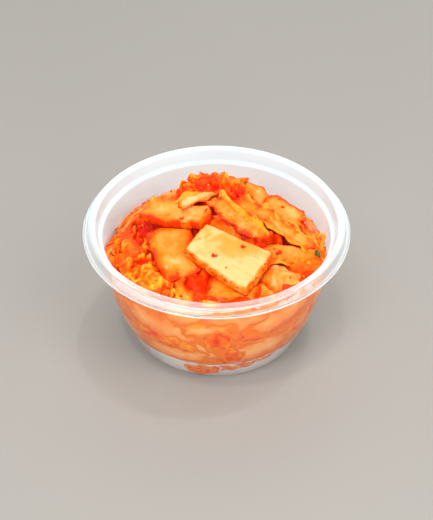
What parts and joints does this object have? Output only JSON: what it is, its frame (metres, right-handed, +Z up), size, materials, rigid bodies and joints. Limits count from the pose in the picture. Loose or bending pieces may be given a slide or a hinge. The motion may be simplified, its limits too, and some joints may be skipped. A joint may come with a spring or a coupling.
{
  "type": "kimchi in a clear deli bowl",
  "caption": "Cut cabbage kimchi, stems and crumpled leaves, heaped above the stepped rim of a round clear plastic deli bowl that stands on its foot ring.",
  "frame": {"origin": "middle of the foot ring, on the surface that the bowl stands on", "axes": "+Z up along the bowl's axis, -Y towards the front, where the heap is highest on the wall"},
  "size_m": [0.117, 0.117, 0.0702],
  "materials": {
    "clear_plastic": "clear, glossy",
    "kimchi": "wet",
    "stem": "wet",
    "stem_orange": "wet",
    "leaf": "wet"
  },
  "bodies": {
    "root": {"bowl": "clear_plastic", "kimchi_heap": "kimchi", "stem_slab_centre": "stem", "leaf_top": "leaf", "stem_strip_top": "stem", "stem_strip_middle": "stem_orange", "stem_slab_back_left": "stem", "stem_slab_right": "stem", "stem_strip_right": "stem_orange", "stem_strip_back": "stem_orange", "stem_slab_left": "stem", "leaf_right": "leaf", "stem_fold_right": "stem_orange", "stem_slab_front": "stem", "stem_chunk_left": "stem_orange", "leaf_left": "leaf", "stem_slab_back": "stem", "leaf_back": "leaf"}
  },
  "joints": []
}
